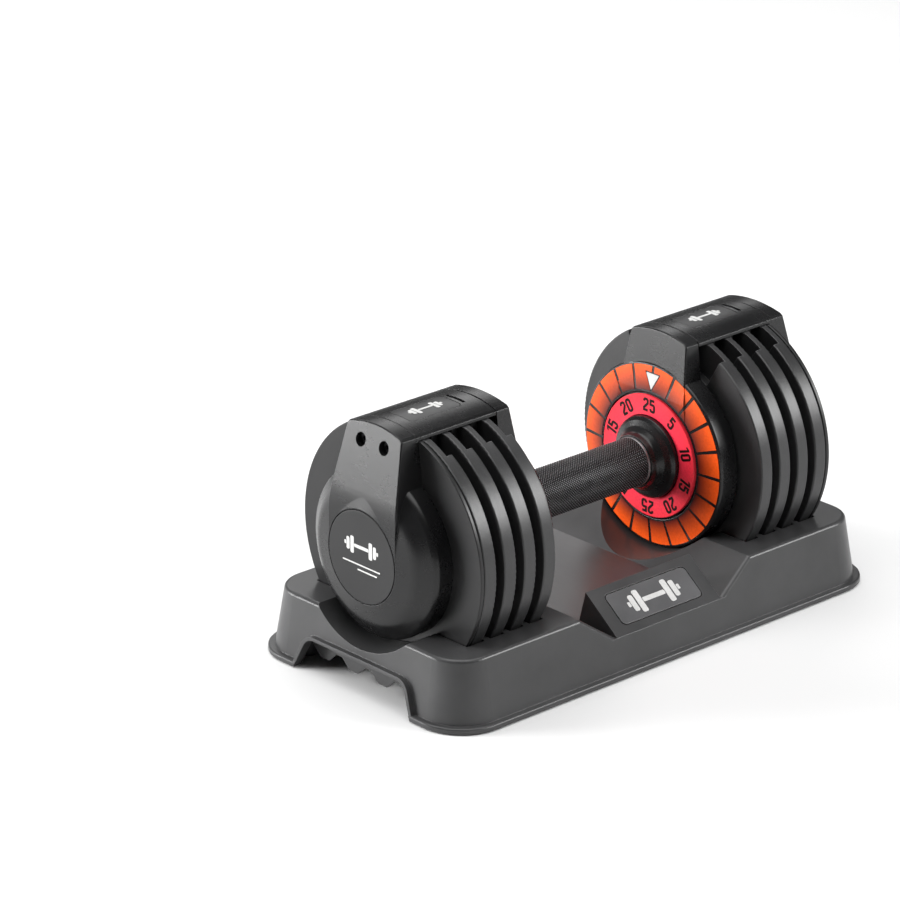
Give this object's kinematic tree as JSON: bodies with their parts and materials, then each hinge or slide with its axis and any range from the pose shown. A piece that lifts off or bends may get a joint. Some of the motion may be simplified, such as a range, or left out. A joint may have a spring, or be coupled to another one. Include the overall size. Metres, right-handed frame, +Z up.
{
  "type": "adjustable dumbbell",
  "caption": "Adjustable dumbbell in its storage tray: turning the knurled handle chooses how many plates lift off with it.",
  "frame": {"origin": "centre of the tray's underside, on the floor", "axes": "+X along the handle, +Y across towards the side without the label block, +Z up"},
  "size_m": [0.36, 0.19, 0.1672],
  "materials": {
    "tray_plastic": "satin moulded ABS, fine grain",
    "cap_plastic": "satin moulded ABS, near black",
    "disc_plastic": "satin moulded ABS",
    "inner_plastic": "moulded nylon",
    "plate_paint": "fine-textured graphite powder coat on steel",
    "grip_steel": "diamond-knurled, dark nickel",
    "dial_red": "satin moulded, printed numbers",
    "segment_orange": "printed film",
    "white_print": "printed",
    "label_panel": "satin label",
    "badge_panel": "satin label",
    "bush_plastic": "acetal",
    "rubber_pad": "soft rubber",
    "spring_steel": "drawn spring steel",
    "screw_steel": "bright plated",
    "part_steel": "zinc-plated steel"
  },
  "bodies": {
    "tray": {"tray_shell": "tray_plastic", "tray_label": "label_panel", "release_posts": "tray_plastic", "foot_pads": "rubber_pad"},
    "handle": {"grip_tube": "grip_steel", "collar_right": "cap_plastic", "dial_ring_right": "dial_red", "index_wheel_right": "inner_plastic", "drive_sleeve_right": "part_steel", "collar_left": "cap_plastic", "dial_ring_left": "dial_red", "index_wheel_left": "inner_plastic", "drive_sleeve_left": "part_steel", "selector_disc_1_right": "inner_plastic", "selector_disc_2_right": "inner_plastic", "selector_disc_3_right": "inner_plastic", "selector_disc_4_right": "inner_plastic", "selector_disc_1_left": "inner_plastic", "selector_disc_2_left": "inner_plastic", "selector_disc_3_left": "inner_plastic", "selector_disc_4_left": "inner_plastic"},
    "carriage": {"core_rod": "part_steel", "rod_nuts": "part_steel", "cap_screws": "screw_steel", "weight_pointers": "white_print", "detent_leaves": "spring_steel", "inner_bushes": "bush_plastic", "outer_bushes": "bush_plastic", "bridge_labels": "badge_panel", "outer_disc_right": "disc_plastic", "end_cap_right": "cap_plastic", "end_badge_right": "badge_panel", "inner_cap_right": "cap_plastic", "dial_segments_right": "segment_orange", "bearing_plate_right": "inner_plastic", "bridge_keel_right": "inner_plastic", "bridge_cover_right": "cap_plastic", "outer_disc_left": "disc_plastic", "end_cap_left": "cap_plastic", "end_badge_left": "badge_panel", "inner_cap_left": "cap_plastic", "dial_segments_left": "segment_orange", "bearing_plate_left": "inner_plastic", "bridge_keel_left": "inner_plastic", "bridge_cover_left": "cap_plastic"},
    "lock_right": {"lock_slider_right": "part_steel", "lock_spring_right": "spring_steel"},
    "lock_left": {"lock_slider_left": "part_steel", "lock_spring_left": "spring_steel"},
    "plate_1_right": {"plate_1_right": "plate_paint"},
    "plate_2_right": {"plate_2_right": "plate_paint"},
    "plate_3_right": {"plate_3_right": "plate_paint"},
    "plate_4_right": {"plate_4_right": "plate_paint"},
    "plate_1_left": {"plate_1_left": "plate_paint"},
    "plate_2_left": {"plate_2_left": "plate_paint"},
    "plate_3_left": {"plate_3_left": "plate_paint"},
    "plate_4_left": {"plate_4_left": "plate_paint"}
  },
  "joints": [
    {"name": "lift", "type": "slide", "parent": "tray", "child": "carriage", "axis": [0, 0, 1], "range_m": [0, 0.2]},
    {"name": "handle_turn", "type": "hinge", "parent": "carriage", "child": "handle", "pos_m": [0, 0, 0.0861], "axis": [1, 0, 0], "continuous": true},
    {"name": "lock_right_drop", "type": "slide", "parent": "carriage", "child": "lock_right", "axis": [0, 0, -1], "range_m": [0, 0.0032], "deforming": ["lock_spring_right"]},
    {"name": "lock_left_drop", "type": "slide", "parent": "carriage", "child": "lock_left", "axis": [0, 0, -1], "range_m": [0, 0.0032], "deforming": ["lock_spring_left"]},
    {"name": "plate_1_right_lift", "type": "slide", "parent": "tray", "child": "plate_1_right", "axis": [0, 0, 1], "range_m": [0, 0.2]},
    {"name": "plate_2_right_lift", "type": "slide", "parent": "tray", "child": "plate_2_right", "axis": [0, 0, 1], "range_m": [0, 0.2]},
    {"name": "plate_3_right_lift", "type": "slide", "parent": "tray", "child": "plate_3_right", "axis": [0, 0, 1], "range_m": [0, 0.2]},
    {"name": "plate_4_right_lift", "type": "slide", "parent": "tray", "child": "plate_4_right", "axis": [0, 0, 1], "range_m": [0, 0.2]},
    {"name": "plate_1_left_lift", "type": "slide", "parent": "tray", "child": "plate_1_left", "axis": [0, 0, 1], "range_m": [0, 0.2]},
    {"name": "plate_2_left_lift", "type": "slide", "parent": "tray", "child": "plate_2_left", "axis": [0, 0, 1], "range_m": [0, 0.2]},
    {"name": "plate_3_left_lift", "type": "slide", "parent": "tray", "child": "plate_3_left", "axis": [0, 0, 1], "range_m": [0, 0.2]},
    {"name": "plate_4_left_lift", "type": "slide", "parent": "tray", "child": "plate_4_left", "axis": [0, 0, 1], "range_m": [0, 0.2]}
  ],
  "couplings": [
    {"joint": "lock_right_drop", "follows": "lift", "ratio": 0.016},
    {"joint": "lock_left_drop", "follows": "lift", "ratio": 0.016},
    {"joint": "plate_1_right_lift", "follows": "lift", "ratio": 1},
    {"joint": "plate_2_right_lift", "follows": "lift", "ratio": 1},
    {"joint": "plate_3_right_lift", "follows": "lift", "ratio": 1},
    {"joint": "plate_4_right_lift", "follows": "lift", "ratio": 1},
    {"joint": "plate_1_left_lift", "follows": "lift", "ratio": 1},
    {"joint": "plate_2_left_lift", "follows": "lift", "ratio": 1},
    {"joint": "plate_3_left_lift", "follows": "lift", "ratio": 1},
    {"joint": "plate_4_left_lift", "follows": "lift", "ratio": 1}
  ]
}
